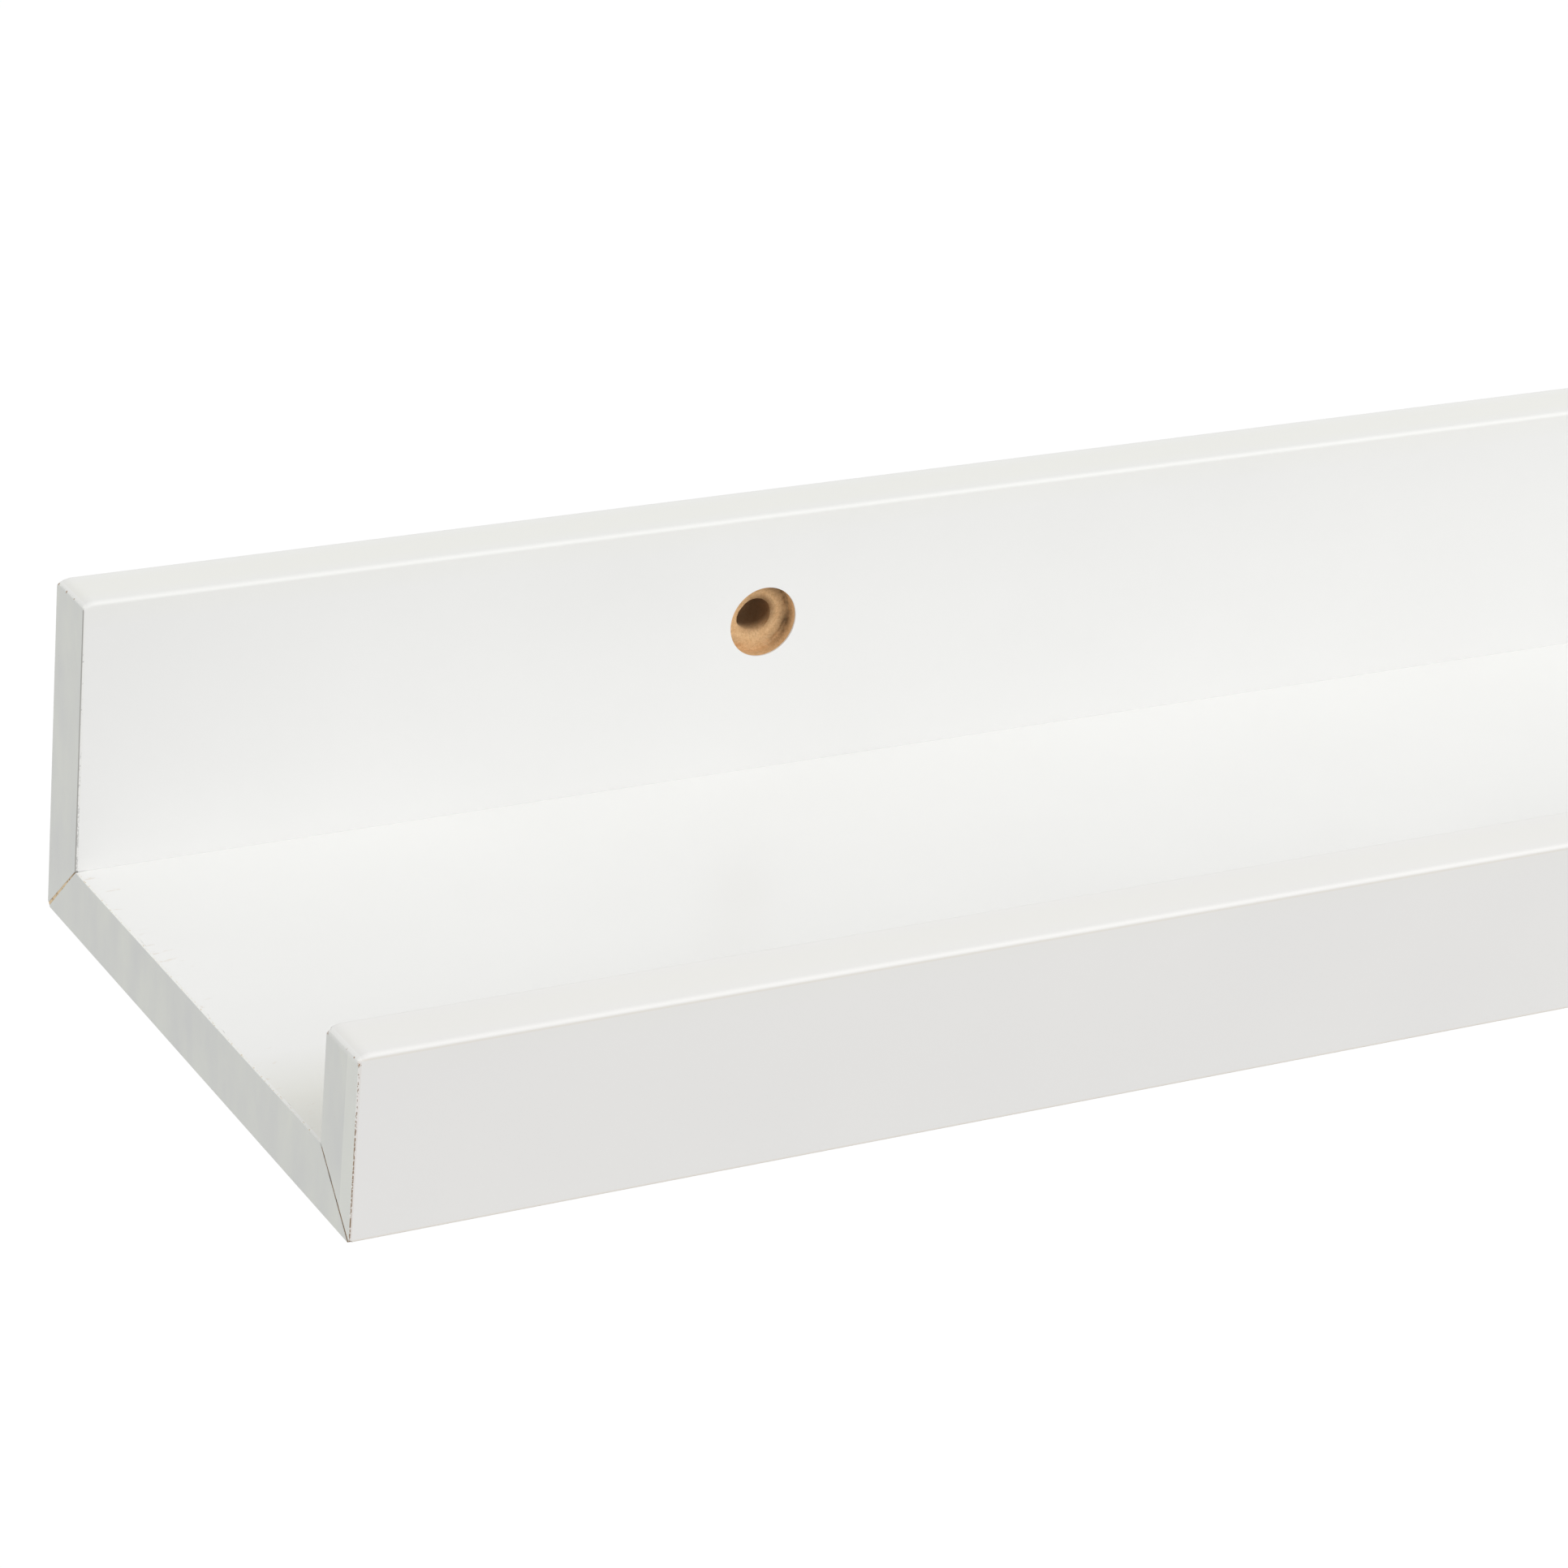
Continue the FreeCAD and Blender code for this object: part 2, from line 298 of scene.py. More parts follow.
def make_piece(bm, name, material, node):
    """Makes a modelled mesh a piece of the shelf, in the place of its CAD node."""
    bmesh.ops.remove_doubles(bm, verts=bm.verts[:], dist=WELD)
    bmesh.ops.recalc_face_normals(bm, faces=bm.faces[:])
    for face in bm.faces:
        face.smooth = True
    for edge in bm.edges:
        edge.smooth = edge.calc_face_angle(math.pi) < SHARP_ANGLE  # an open edge counts as sharp
    mesh = bpy.data.meshes.new(name)
    bm.to_mesh(mesh)
    bm.free()
    mesh.materials.append(material)
    piece = bpy.data.objects.new(name, mesh)
    bpy.context.scene.collection.objects.link(piece)
    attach(piece, "root")
    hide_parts(node)
    return piece


def linear(hex_colour):
    """An sRGB hex colour as the linear colour that the shaders take."""
    channels = [int(hex_colour[place:place + 2], 16) / 255 for place in (1, 3, 5)]
    return (*[c / 12.92 if c <= 0.04045 else ((c + 0.055) / 1.055) ** 2.4 for c in channels], 1)


def add_node(tree, kind, inputs=None, **settings):
    """Adds a node: its settings, then its inputs, each a value or an output to link."""
    node = tree.nodes.new("ShaderNode" + kind)
    for name, setting in settings.items():
        setattr(node, name, setting)
    for name, entry in (inputs or {}).items():
        if isinstance(entry, bpy.types.NodeSocket):
            tree.links.new(entry, node.inputs[name])
        else:
            node.inputs[name].default_value = entry
    return node


def per_size(size):
    """The scale of a pattern whose features are that size."""
    return 1 / size


def empty_material(name):
    """A material with nothing in its tree, and the tree."""
    material = bpy.data.materials.new(name)
    material.use_nodes = True
    material.node_tree.nodes.clear()
    return material, material.node_tree


def raw_fibreboard():
    """Raw medium-density fibreboard, sawn and bored: a matte tan felt of pressed wood fibres.

    The eye sees a warm mottle a millimetre or two across with finer felt in it. Painted shade darkens
    the shank hole further in, and lies in patches in the groove round the counterbore's floor, more so
    towards the upper side of each.
    """
    material, tree = empty_material("raw_fibreboard")
    place = add_node(tree, "TexCoord").outputs["Object"]
    mottle = add_node(tree, "TexNoise", {
        "Vector": place, "Scale": per_size(MOTTLE_SIZE), "Detail": 3, "Roughness": 0.6,
    }).outputs["Fac"]
    felt = add_node(tree, "TexNoise", {
        "Vector": place, "Scale": per_size(FELT_SIZE), "Detail": 2, "Distortion": 1.2,
    }).outputs["Fac"]
    warm = add_node(tree, "Mix", {
        0: mottle, 6: linear("#D8AD7B"), 7: linear("#F2D1A6"),
    }, data_type="RGBA").outputs[2]
    felted = add_node(tree, "MapRange", {
        "Value": felt, "From Min": 0.3, "From Max": 0.6, "To Min": 0.5, "To Max": 0,
    }).outputs["Result"]
    colour = add_node(tree, "Mix", {
        0: felted, 6: warm, 7: linear("#B78C5E"),
    }, data_type="RGBA").outputs[2]

    axes = add_node(tree, "SeparateXYZ", {"Vector": place})
    from_middle = add_node(tree, "Math", {0: axes.outputs["X"]}, operation="ABSOLUTE").outputs[0]
    aside = add_node(tree, "Math", {0: from_middle, 1: hole_places[1][0]}, operation="SUBTRACT").outputs[0]
    spoke = add_node(tree, "CombineXYZ", {"X": aside, "Z": axes.outputs["Z"]}).outputs[0]
    radius = add_node(tree, "VectorMath", {0: spoke}, operation="LENGTH").outputs["Value"]
    upper_side = add_node(tree, "Math", {
        0: axes.outputs["Z"], 1: aside,
    }, operation="SUBTRACT").outputs[0]
    inside = add_node(tree, "MapRange", {
        "Value": radius, "From Min": shank_radius + HOLE_SHADE_FADE[0],
        "From Max": shank_radius + HOLE_SHADE_FADE[1], "To Min": 1, "To Max": 0,
    }).outputs["Result"]
    # painted shade: the shank hole's colour darkens further in, and starts further forward on its upper side
    inner_depth = add_node(tree, "Math", {
        0: upper_side, 1: HOLE_SHADE_TILT, 2: axes.outputs["Y"],
    }, operation="MULTIPLY_ADD").outputs[0]
    hole_shade = add_node(tree, "MapRange", {
        "Value": inner_depth, "From Min": shank_y + HOLE_SHADE_DEPTHS[0],
        "From Max": shank_y + HOLE_SHADE_DEPTHS[1], "To Min": 0, "To Max": 0.85,
    }).outputs["Result"]
    hole_shade = add_node(tree, "Math", {0: hole_shade, 1: inside}, operation="MULTIPLY").outputs[0]
    colour = add_node(tree, "Mix", {
        0: hole_shade, 6: colour, 7: linear("#6A4A2C"),
    }, data_type="RGBA").outputs[2]
    off_groove = add_node(tree, "Math", {0: radius, 1: HEAD_RADIUS}, operation="SUBTRACT").outputs[0]
    off_groove = add_node(tree, "Math", {0: off_groove}, operation="ABSOLUTE").outputs[0]
    groove = add_node(tree, "MapRange", {
        "Value": off_groove, "From Min": GROOVE_FADE[0], "From Max": GROOVE_FADE[1],
        "To Min": 1, "To Max": 0,
    }).outputs["Result"]
    low_down = add_node(tree, "MapRange", {
        "Value": axes.outputs["Y"],
        "From Min": floor_y - GROOVE_RISE[0], "From Max": floor_y - GROOVE_RISE[1],
    }).outputs["Result"]
    groove = add_node(tree, "Math", {0: groove, 1: low_down}, operation="MULTIPLY").outputs[0]
    # painted shade: patches darken the groove round the counterbore's floor, more towards the upper side
    patches = add_node(tree, "TexNoise", {
        "Vector": place, "Scale": per_size(GROOVE_SHADE_SIZE), "Detail": 4, "Roughness": 0.65,
    }).outputs["Fac"]
    patches = add_node(tree, "Math", {
        0: upper_side, 1: GROOVE_SHADE_TILT, 2: patches,
    }, operation="MULTIPLY_ADD").outputs[0]
    groove_shade = add_node(tree, "MapRange", {
        "Value": patches, "From Min": 0.4, "From Max": 0.66, "To Min": 0, "To Max": 0.85,
    }).outputs["Result"]
    groove_shade = add_node(tree, "Math", {0: groove_shade, 1: groove}, operation="MULTIPLY").outputs[0]
    colour = add_node(tree, "Mix", {
        0: groove_shade, 6: colour, 7: linear("#664F36"),
    }, data_type="RGBA").outputs[2]
    bump = add_node(tree, "Bump", {
        "Strength": 0.5, "Distance": 0.08 * MM, "Height": felt,
    }).outputs["Normal"]
    shader = add_node(tree, "BsdfPrincipled", {
        "Base Color": colour, "Roughness": 0.92, "IOR": 1.45, "Specular IOR Level": 0.2, "Normal": bump,
    }).outputs["BSDF"]
    add_node(tree, "OutputMaterial", {"Surface": shader})
    return material


fibreboard = raw_fibreboard()
back_core = upright_core(core_low, core_high, back_high.y, back_high.z)
score_holes(back_core)
for hole in hole_places:
    bore_hole(back_core, hole)
    fray_hole(back_core, hole)
make_piece(back_core, "back_board_bored_core", fibreboard, "back_board_core")


# Back board foil: one sheet of white decor foil, hot-melted round the board over its front, its
# top and its rear, with the counterbores cut through it.

FOIL_FRINGE = 0.2 * MM  # how far the torn foil reaches into the screw hole at the rear
FACING = 0.5  # a face whose normal has more than this along an axis faces that way
CLOUD_SIZE = 28 * MM
GRAIN_SIZE = 0.3 * MM
SCRATCH_SIZE = 1.2 * MM
SCRATCH_DRAG = 0.3  # the scratches' scale along the shelf; below 1 they are drawn out
SCUFF_ZONE = 14 * MM  # the stretch before each end that is scratched
TOP_BAND = 6 * MM  # half width of the warm band of painted light along the tops


def wrapped_sheet(low, high, outer):
    """The foil's outer face round an upright board, open at the mitre and at both ends."""
    section = upright_section(low, high, outer)
    inner = 0 if outer < high.y else 3  # the lower corner on the board's inner face
    section[inner] = (section[inner][0], section[inner][1] - foil_thick)
    bm = board_prism(section, low.x, high.x)
    round_top(bm, section, TOP_ROUND)
    open_faces = [face for face in bm.faces if abs(face.normal.x) > FACING or face.normal.z < -FACING]
    bmesh.ops.delete(bm, geom=open_faces, context="FACES")
    ease_ends(bm, high.z)
    return bm


def keep_flat(piece):
    """Keeps the flat faces of a piece flat to the light, beside its rounds."""
    weighted = piece.modifiers.new("flat_faces", "WEIGHTED_NORMAL")
    weighted.keep_sharp = True
    weighted.weight = 100


def foil_finish(piece):
    """Gives a sheet its thickness, inwards; its cut edges stay as sharp as the knife left them."""
    solidify = piece.modifiers.new("foil_thickness", "SOLIDIFY")
    solidify.thickness = foil_thick
    solidify.offset = -1
    keep_flat(piece)


def decor_foil(name, first_white, second_white, lines=(), scuffed=0):
    """White decor foil, a semi-gloss film calendered with a fine even grain.

    The eye sees clean white with a soft sheen. Along each of the lines, given as Y, Z, half width,
    strength and tint, a faint tint is mixed into the colour; where such a line is painted light or
    painted shade, that is said where the lines are given. A scuffed foil has faint tan scratches near its
    ends.
    """
    material, tree = empty_material(name)
    place = add_node(tree, "TexCoord").outputs["Object"]
    cloud = add_node(tree, "TexNoise", {
        "Vector": place, "Scale": per_size(CLOUD_SIZE), "Detail": 2, "Roughness": 0.5,
    }).outputs["Fac"]
    grain = add_node(tree, "TexNoise", {
        "Vector": place, "Scale": per_size(GRAIN_SIZE), "Detail": 2, "Roughness": 0.6,
    }).outputs["Fac"]
    colour = add_node(tree, "Mix", {
        0: cloud, 6: linear(first_white), 7: linear(second_white),
    }, data_type="RGBA").outputs[2]
    across = add_node(tree, "Mapping", {"Vector": place, "Scale": (0, 1, 1)}).outputs["Vector"]
    for y, z, width, strength, tint in lines:
        line = add_node(tree, "CombineXYZ", {"Y": y, "Z": z}).outputs[0]
        distance = add_node(tree, "VectorMath", {0: across, 1: line}, operation="DISTANCE").outputs["Value"]
        thin = add_node(tree, "MapRange", {
            "Value": distance, "From Min": width / 4, "From Max": width, "To Min": strength, "To Max": 0,
        }).outputs["Result"]
        colour = add_node(tree, "Mix", {0: thin, 6: colour, 7: linear(tint)}, data_type="RGBA").outputs[2]
    if scuffed:
        dragged = add_node(tree, "Mapping", {
            "Vector": place, "Scale": (SCRATCH_DRAG, 1, 1),
        }).outputs["Vector"]
        scratches = add_node(tree, "TexNoise", {
            "Vector": dragged, "Scale": per_size(SCRATCH_SIZE), "Detail": 4, "Roughness": 0.7,
        }).outputs["Fac"]
        from_middle = add_node(tree, "SeparateXYZ", {"Vector": place}).outputs["X"]
        from_middle = add_node(tree, "Math", {0: from_middle}, operation="ABSOLUTE").outputs[0]
        bar = add_node(tree, "MapRange", {
            "Value": from_middle, "From Min": foil_end - SCUFF_ZONE, "From Max": foil_end,
            "To Min": 0.84, "To Max": 0.61,
        }).outputs["Result"]
        over = add_node(tree, "Math", {0: scratches, 1: bar}, operation="SUBTRACT").outputs[0]
        scratched = add_node(tree, "MapRange", {
            "Value": over, "From Max": 0.06, "To Max": scuffed,
        }).outputs["Result"]
        colour = add_node(tree, "Mix", {
            0: scratched, 6: colour, 7: linear("#CDB89A"),
        }, data_type="RGBA").outputs[2]
    roughness = add_node(tree, "MapRange", {
        "Value": cloud, "To Min": 0.28, "To Max": 0.36,
    }).outputs["Result"]
    bump = add_node(tree, "Bump", {
        "Strength": 0.12, "Distance": 0.02 * MM, "Height": grain,
    }).outputs["Normal"]
    shader = add_node(tree, "BsdfPrincipled", {
        "Base Color": colour, "Roughness": roughness, "IOR": 1.5, "Normal": bump,
    }).outputs["BSDF"]
    add_node(tree, "OutputMaterial", {"Surface": shader})
    return material


back_foil_material = decor_foil("back_board_decor_foil", "#EDEDEC", "#F1F1F0", [
    # painted light: a warm tint along the top, for the tone of the light falling on the top face
    (back_low.y + board_thick / 2, back_high.z, TOP_BAND, 0.35, "#EDEDDF"),
])
back_sheet = wrapped_sheet(back_low, back_high, back_high.y)
sand_back_corner(back_sheet)
score_holes(back_sheet)
for hole in hole_places:
    for radius, face_y in ((HEAD_RADIUS, back_low.y), (shank_radius - FOIL_FRINGE, back_high.y)):
        turned = Matrix.Translation((hole[0], face_y, hole[1])) @ Matrix.Rotation(math.pi / 2, 4, "X")
        bmesh.ops.create_circle(back_sheet, segments=HOLE_SIDES, radius=radius, matrix=turned)
        join_square(back_sheet, hole, radius, face_y)
back_foil = make_piece(back_sheet, "back_board_wrap", back_foil_material, "back_board_foil")
foil_finish(back_foil)


# Bottom board: the same fibreboard, mitred along both long edges, with one strip of foil on its
# upper face, which carries the pictures, and one on its underside. Trimming the ends has broken
# a few chips out of the foil.

CHIP_STEP = 0.2 * MM  # spacing of the points along a chipped edge
CHIP_GRAIN = 1.1 * MM
CHIP_LENGTH = 0.1 * MM
CHIP_RARITY = 8
COARSE_WANDER = 0.6
FINE_WANDER = 0.3
MIDDLE_WANDER = 0.5  # what the coarse and the fine wander are added to
FINER_WANDER = 2.7  # how many times smaller the fine wander is
LIP_SHADE_MIDDLE = 16.5 * MM  # from the lip's front face, the middle of the band of painted shade before the lip
LIP_SHADE_WIDTH = 16 * MM  # and half its width
FOIL_CLEARANCE = 0.01 * MM  # between the strip on the upper face and the foils that it meets
SEAM_OPENING = 0.12 * MM  # how far the seam has opened at the very ends
SEAM_LENGTH = 1.4 * MM

frame["nodes"]["bottom_board_core"].material_slots[0].material = fibreboard
# painted light: the same foil as on the back board and the lip, given a lighter white for the board's upper
# face, which is turned to the light
board_foil_material = decor_foil("bottom_board_decor_foil", "#F3F3F1", "#F7F7F5", [
    # painted shade: a darker, warmer band on the board's upper face before the lip
    (lip_low.y + LIP_SHADE_MIDDLE, underside + board_thick, LIP_SHADE_WIDTH, 0.35, "#E0DFCD"),
], scuffed=0.28)


def fray(bm, chosen, step, grain, reach, direction, rarity=1, divided=None):
    """Divides the long edges in a place that lie square to X, and moves its chosen points unevenly.

    Each place is given as a test, and the divided one is the chosen one unless it is given too. Its
    edges are divided together, so that the faces between them stay four-sided, and the short edges
    of a round stay whole. No point moves further than reach; the higher the rarity, the fewer move
    far.
    """
    place = divided or chosen
    rows = [
        edge for edge in bm.edges
        if abs(edge.verts[0].co.x - edge.verts[1].co.x) < TINY
        and place((edge.verts[0].co + edge.verts[1].co) / 2)
        and all(place(vert.co) for vert in edge.verts)
    ]
    longest = max(edge.calc_length() for edge in rows)
    rows = [edge for edge in rows if edge.calc_length() > longest / 2]
    bmesh.ops.subdivide_edges(bm, edges=rows, cuts=int(longest / step), use_grid_fill=True)
    for vert in [vert for vert in bm.verts if chosen(vert.co)]:
        coarse = noise.noise(vert.co / grain)
        fine = noise.noise(vert.co * FINER_WANDER / grain)
        wander = MIDDLE_WANDER + COARSE_WANDER * coarse + FINE_WANDER * fine
        vert.co += direction(vert.co) * max(0, min(1, wander)) ** rarity * reach


def inward(co):
    """The direction along X from a point to the middle of the shelf."""
    return Vector((-math.copysign(1, co.x), 0, 0))


top_edges = (back_low.y - FOIL_CLEARANCE, lip_high.y + FOIL_CLEARANCE)
top_heights = (underside + board_thick - foil_thick, underside + board_thick)
top_section = [(top_edges[0], z) for z in top_heights] + [(top_edges[1], z) for z in reversed(top_heights)]
top_strip = board_prism(top_section, -foil_end, foil_end)
for side in (-1, 1):
    cut_plane(top_strip, (side * (foil_end - SEAM_LENGTH), 0, 0), (1, 0, 0))
for vert in top_strip.verts:
    if abs(vert.co.x) > foil_end - TINY and vert.co.y > top_edges[0] - TINY:
        vert.co.y -= SEAM_OPENING
fray(
    top_strip, lambda co: abs(co.x) > foil_end - TINY and co.z > top_heights[1] - TINY,
    CHIP_STEP, CHIP_GRAIN, CHIP_LENGTH, inward, CHIP_RARITY,
    divided=lambda co: abs(co.x) > foil_end - SEAM_LENGTH - TINY,
)
make_piece(top_strip, "bottom_board_top_strip", board_foil_material, "bottom_board_top_foil")

under_section = []
for height, ends in ((0, (0, 1)), (foil_thick, (1, 0))):
    under_edges = (back_high.y - height - mitre_gap, lip_low.y + height + mitre_gap)
    under_section += [(under_edges[end], underside + height) for end in ends]
under_strip = board_prism(under_section, -foil_end, foil_end)
sand_back_corner(under_strip)
close_openings(under_strip)
make_piece(
    under_strip, "bottom_board_under_strip", board_foil_material, "bottom_board_under_foil",
)


# Front lip: a low fibreboard rail under its own sheet of foil, mitred to the front of the bottom
# board. It keeps the pictures from sliding off.

ARRIS_WIDTH = 0.22 * MM  # half width of the faint warm line under the top's round
FOOT_WIDTH = 0.25 * MM  # half width of the stretched line along the mitre

lip_core_low, lip_core_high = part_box("front_lip_core")
lip_core = upright_core(lip_core_low, lip_core_high, lip_low.y, lip_high.z)
make_piece(lip_core, "front_lip_rail", fibreboard, "front_lip_core")
lip_foil_material = decor_foil("front_lip_decor_foil", "#EDECEB", "#F1F0EE", [
    # painted light: a warm tint along the top, for the tone of the light falling on the top face
    (lip_low.y + board_thick / 2, lip_high.z, TOP_BAND, 0.2, "#EDEDDF"),
    (lip_low.y, lip_high.z - TOP_ROUND, ARRIS_WIDTH, 0.18, "#E0CDB0"),
    (lip_low.y, underside + mitre_gap, FOOT_WIDTH, 0.3, "#E0CDB0"),
])
lip_sheet = wrapped_sheet(lip_low, lip_high, lip_low.y)
lip_foil = make_piece(lip_sheet, "front_lip_wrap", lip_foil_material, "front_lip_foil")
foil_finish(lip_foil)


# Mitre glue: a film of brown wood glue between the sawn faces of each mitre. It swells to a bead
# of glue and fibre where the end tapes stop short, and pale dust has filled it along the seams.

GLUE_END_SETBACK = 0.02 * MM
GLUE_CORNER_SETBACK = 0.05 * MM
GLUE_INNER_SETBACK = 0.3 * MM
GLUE_STEP = 0.2 * MM
GLUE_GRAIN = 0.9 * MM
GLUE_WANDER = 0.05 * MM
BACK_BEAD = 2.2  # how many times thicker than the film the bead is at the outer corner
FRONT_BEAD = 1.5
LEAST_SWELL = 0.2  # the part of the bead's swelling that is left at the inner corner
GLUE_CRUMB_SIZE = 0.5 * MM
CRUMB_TOP = (6.8 * MM, 8.8 * MM)  # above the underside, where the tan crumbs end
BETWEEN_MITRES = (-40 * MM, -50 * MM)  # in Y; only the glue behind it, towards the wall, is tan
DUST_FADE = 0.5 * MM  # how far before the foil's end the dust in the seams gives way to the bead


def dried_glue():
    """Dried wood glue, a brown brittle film that has taken up fibre and sanding dust.

    The eye sees tan crumbs low in the back mitre, a dark line in the rest, pale dust in the seams.
    """
    material, tree = empty_material("dried_glue")
    place = add_node(tree, "TexCoord").outputs["Object"]
    axes = add_node(tree, "SeparateXYZ", {"Vector": place})
    crumbs = add_node(tree, "TexNoise", {
        "Vector": place, "Scale": per_size(GLUE_CRUMB_SIZE), "Detail": 3, "Roughness": 0.7,
    }).outputs["Fac"]
    crumb = add_node(tree, "MapRange", {
        "Value": crumbs, "From Min": 0.36, "From Max": 0.52,
    }).outputs["Result"]
    tan = add_node(tree, "Mix", {
        0: crumb, 6: linear("#A48058"), 7: linear("#F3DAB4"),
    }, data_type="RGBA").outputs[2]
    brown = add_node(tree, "Mix", {
        0: crumb, 6: linear("#3C2A18"), 7: linear("#8E7050"),
    }, data_type="RGBA").outputs[2]
    dust = add_node(tree, "Mix", {
        0: crumb, 6: linear("#DCD6CA"), 7: linear("#EEEAE2"),
    }, data_type="RGBA").outputs[2]
    high_up = add_node(tree, "MapRange", {
        "Value": axes.outputs["Z"],
        "From Min": underside + CRUMB_TOP[0], "From Max": underside + CRUMB_TOP[1],
    }).outputs["Result"]
    in_front = add_node(tree, "MapRange", {
        "Value": axes.outputs["Y"], "From Min": BETWEEN_MITRES[0], "From Max": BETWEEN_MITRES[1],
    }).outputs["Result"]
    dark = add_node(tree, "Math", {0: high_up, 1: in_front}, operation="MAXIMUM").outputs[0]
    bead = add_node(tree, "Mix", {0: dark, 6: tan, 7: brown}, data_type="RGBA").outputs[2]
    from_middle = add_node(tree, "Math", {0: axes.outputs["X"]}, operation="ABSOLUTE").outputs[0]
    on_end = add_node(tree, "MapRange", {
        "Value": from_middle, "From Min": foil_end - DUST_FADE, "From Max": foil_end,
    }).outputs["Result"]
    colour = add_node(tree, "Mix", {0: on_end, 6: dust, 7: bead}, data_type="RGBA").outputs[2]
    shader = add_node(tree, "BsdfPrincipled", {
        "Base Color": colour, "Roughness": 0.75, "IOR": 1.48, "Specular IOR Level": 0.3,
    }).outputs["BSDF"]
    add_node(tree, "OutputMaterial", {"Surface": shader})
    return material


glue_material = dried_glue()


def glue_film(outer, direction, start, bead, name, node):
    """The film in one mitre, with its frayed ends and their beads.

    Outer is the Y of the mitre's outer corner, direction the side of it that the board lies on, and
    start the distance along the mitre at which the film begins.
    """
    half = mitre_gap / math.sqrt(2)
    end = board_thick * math.sqrt(2) - half - GLUE_INNER_SETBACK
    along = Vector((0, direction, 1)).normalized()
    across = Vector((0, -direction, 1)).normalized()
    corner = Vector((0, outer, underside))
    section = []
    for far, aside in ((start, -half), (start, half), (end, half), (end, -half)):
        section.append(tuple(corner + along * far + across * aside)[1:])
    reach = shelf_end - GLUE_END_SETBACK
    bm = board_prism(section, -reach, reach)
    for side in (-1, 1):
        cut_plane(bm, (side * foil_end, 0, 0), (1, 0, 0))
    fray(
        bm, lambda co: abs(co.x) > reach - TINY, GLUE_STEP, GLUE_GRAIN, GLUE_WANDER, inward,
        divided=lambda co: abs(co.x) > foil_end - TINY,
    )
    for vert in bm.verts:
        if abs(vert.co.x) > foil_end + TINY:
            far = (vert.co - corner).dot(along) / end
            swell = (bead - 1) * max(LEAST_SWELL, 1 - far) * (1 + noise.noise(vert.co / GLUE_GRAIN))
            vert.co += across * (vert.co - corner).dot(across) * swell
    make_piece(bm, name, glue_material, node)


glue_film(
    back_high.y, -1, CORNER_FLAT / math.sqrt(2) + GLUE_CORNER_SETBACK, BACK_BEAD,
    "back_mitre_glue_line", "back_mitre_glue",
)
glue_film(
    lip_low.y, 1, mitre_gap / math.sqrt(2) * FRONT_BEAD + GLUE_CORNER_SETBACK, FRONT_BEAD,
    "front_mitre_glue_line", "front_mitre_glue",
)


# End tapes: white edge tape ironed on to the sawn ends, one strip for each board. It was cut
# through at the mitres, trimmed flush with a knife and eased along the top with the board.

TAPE_EDGE = 0.05 * MM  # how much the outer edges are rounded
TAPE_EDGE_STEPS = 2
TAPE_STEP = 0.2 * MM
TAPE_GRAIN = 1.2 * MM
BACK_GAPS = (0.26 * MM, 0.08 * MM)  # how far the tape stops short at the outer and inner corner
FRONT_GAPS = (0.21 * MM, 0.16 * MM)
BACK_CHIPPING = 0.1 * MM
FRONT_CHIPPING = 0.08 * MM
TOP_CHIPPING = 0.14 * MM
SMUDGE_SIZE = 4.5 * MM
SMUDGE_DRAG = 0.45  # the smudges' scale in height; below 1 they are drawn out
CRUMB_SIZE = 0.24 * MM
FLECK_DRAG = 0.6  # the flecks' scale along the edge
FLECK_FADE = 0.12 * MM
PALE_FADE = 0.1 * MM
WORN_RAGGEDNESS = 0.9 * MM
WORN_OVER = 0.1 * MM  # how far above its middle height the worn border is complete
EDGE_FADE = (0.06 * MM, 0.12 * MM)  # from the foil's face, where the cut edge's look gives way
ARRIS_FADE = (0.04 * MM, 0.08 * MM)  # in from the end face, where the cut edge's look begins
LINE_FADE = (0.1 * MM, 0.18 * MM)  # in from the end face, where the painted grey shadow line fades
SCAR_STRENGTH = 0.2
KNOCK_INSET = 0.2 * MM  # how far inside its corner the knocked tip of the lip's left tape lies
KNOCK_DEPTH = 0.15 * MM
KNOCK_FACING = (-0.6, 0.57, 0.57)


